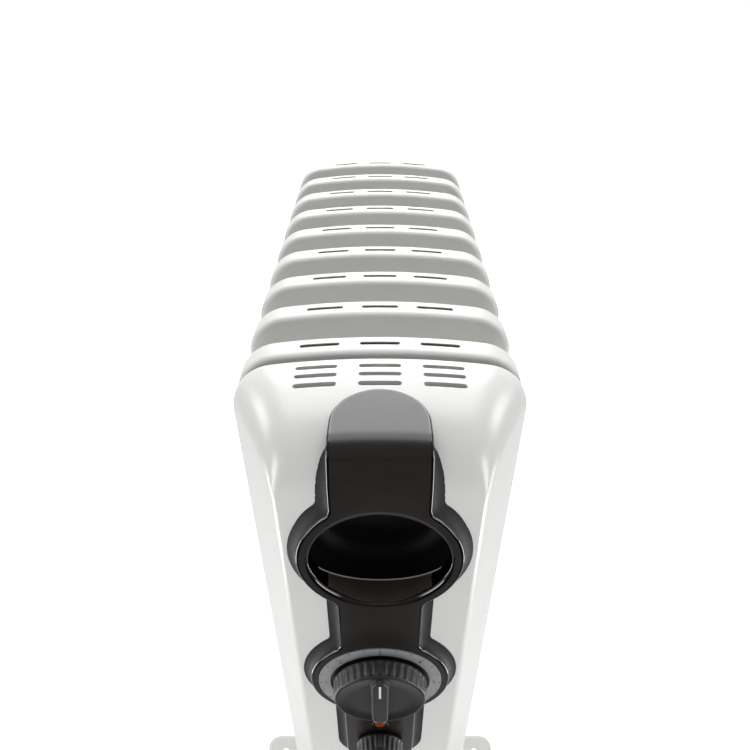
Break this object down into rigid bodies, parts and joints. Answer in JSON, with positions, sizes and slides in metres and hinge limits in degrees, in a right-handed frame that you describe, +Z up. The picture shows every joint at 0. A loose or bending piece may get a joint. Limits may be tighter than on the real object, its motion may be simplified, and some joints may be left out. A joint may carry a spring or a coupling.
{
  "type": "oil filled radiator heater",
  "caption": "Free-standing oil filled radiator: upright white fins on two headers, moulded control end with hand grip, dial and selector, cord winder, cross feet on castors.",
  "frame": {"origin": "on the floor under the middle of the heater, at the centre of the overall box's base", "axes": "+Z up, -Y towards the control end, +Y towards the rear fin, X across the fins"},
  "size_m": [0.252, 0.43, 0.6402],
  "materials": {
    "fin_enamel": "powder-coated white enamel, satin gloss",
    "bare_steel": "cold-rolled sheet",
    "fibre_gasket": "compressed fibre",
    "white_shell": "moulded, glossy white",
    "dark_plastic": "moulded, satin dark grey",
    "pocket_black": "moulded, polished black",
    "zinc_steel": "bright zinc plate",
    "knob_plastic": "moulded, fine spark texture",
    "scale_ring": "printed silver grey",
    "control_housing": "glass-filled thermoset",
    "amber_lens": "clear amber",
    "lamp_holder": "ceramic white",
    "soft_black": "moulded rubber",
    "winder_plastic": "moulded, satin",
    "foot_paint": "powder-coated white",
    "castor_plastic": "moulded nylon",
    "wheel_nylon": "moulded nylon, satin"
  },
  "bodies": {
    "root": {"fin_1": "fin_enamel", "fin_2": "fin_enamel", "fin_3": "fin_enamel", "fin_4": "fin_enamel", "fin_5": "fin_enamel", "fin_6": "fin_enamel", "fin_7": "fin_enamel", "fin_8": "fin_enamel", "fin_9": "fin_enamel", "upper_header": "fin_enamel", "lower_header": "fin_enamel", "header_plugs": "fin_enamel", "oil_core": "bare_steel", "heating_element": "bare_steel", "mounting_plate": "bare_steel", "heat_shield": "bare_steel", "element_bolts": "bare_steel", "element_gasket": "fibre_gasket", "front_cap": "white_shell", "fascia": "dark_plastic", "hand_pocket": "pocket_black", "cap_screws": "zinc_steel", "fascia_screws": "zinc_steel", "winder_screws": "zinc_steel", "u_bolts": "zinc_steel", "wing_nuts": "zinc_steel", "thermostat_ring": "scale_ring", "thermostat_body": "control_housing", "selector_switch": "control_housing", "terminal_block": "control_housing", "pilot_lens": "amber_lens", "pilot_lamp": "lamp_holder", "thermal_cutout": "bare_steel", "cord_gland": "soft_black", "cord_winder": "winder_plastic", "foot_front": "foot_paint", "foot_rear": "foot_paint"},
    "thermostat_dial": {"thermostat_knob": "knob_plastic", "thermostat_shaft": "zinc_steel"},
    "selector_dial": {"selector_knob": "knob_plastic", "selector_shaft": "zinc_steel"},
    "castor_front_left": {"castor_fork_front_left": "castor_plastic", "castor_stem_front_left": "zinc_steel", "castor_axle_front_left": "zinc_steel"},
    "wheel_front_left": {"castor_wheel_front_left": "wheel_nylon"},
    "castor_front_right": {"castor_fork_front_right": "castor_plastic", "castor_stem_front_right": "zinc_steel", "castor_axle_front_right": "zinc_steel"},
    "wheel_front_right": {"castor_wheel_front_right": "wheel_nylon"},
    "castor_rear_left": {"castor_fork_rear_left": "castor_plastic", "castor_stem_rear_left": "zinc_steel", "castor_axle_rear_left": "zinc_steel"},
    "wheel_rear_left": {"castor_wheel_rear_left": "wheel_nylon"},
    "castor_rear_right": {"castor_fork_rear_right": "castor_plastic", "castor_stem_rear_right": "zinc_steel", "castor_axle_rear_right": "zinc_steel"},
    "wheel_rear_right": {"castor_wheel_rear_right": "wheel_nylon"}
  },
  "joints": [
    {"name": "thermostat_turn", "type": "hinge", "parent": "root", "child": "thermostat_dial", "pos_m": [0, -0.2, 0.435], "axis": [0, -1, 0], "range_deg": [-270, 0]},
    {"name": "selector_turn", "type": "hinge", "parent": "root", "child": "selector_dial", "pos_m": [0, -0.2, 0.349], "axis": [0, -1, 0], "range_deg": [-135, 0]},
    {"name": "castor_swivel_front_left", "type": "hinge", "parent": "root", "child": "castor_front_left", "pos_m": [-0.106, -0.0995, 0.06], "axis": [0, 0, 1], "continuous": true},
    {"name": "wheel_spin_front_left", "type": "hinge", "parent": "castor_front_left", "child": "wheel_front_left", "pos_m": [-0.106, -0.0875, 0.022], "axis": [1, 0, 0], "continuous": true},
    {"name": "castor_swivel_front_right", "type": "hinge", "parent": "root", "child": "castor_front_right", "pos_m": [0.106, -0.0995, 0.06], "axis": [0, 0, 1], "continuous": true},
    {"name": "wheel_spin_front_right", "type": "hinge", "parent": "castor_front_right", "child": "wheel_front_right", "pos_m": [0.106, -0.0875, 0.022], "axis": [1, 0, 0], "continuous": true},
    {"name": "castor_swivel_rear_left", "type": "hinge", "parent": "root", "child": "castor_rear_left", "pos_m": [-0.106, 0.1805, 0.06], "axis": [0, 0, 1], "continuous": true},
    {"name": "wheel_spin_rear_left", "type": "hinge", "parent": "castor_rear_left", "child": "wheel_rear_left", "pos_m": [-0.106, 0.1925, 0.022], "axis": [1, 0, 0], "continuous": true},
    {"name": "castor_swivel_rear_right", "type": "hinge", "parent": "root", "child": "castor_rear_right", "pos_m": [0.106, 0.1805, 0.06], "axis": [0, 0, 1], "continuous": true},
    {"name": "wheel_spin_rear_right", "type": "hinge", "parent": "castor_rear_right", "child": "wheel_rear_right", "pos_m": [0.106, 0.1925, 0.022], "axis": [1, 0, 0], "continuous": true}
  ]
}
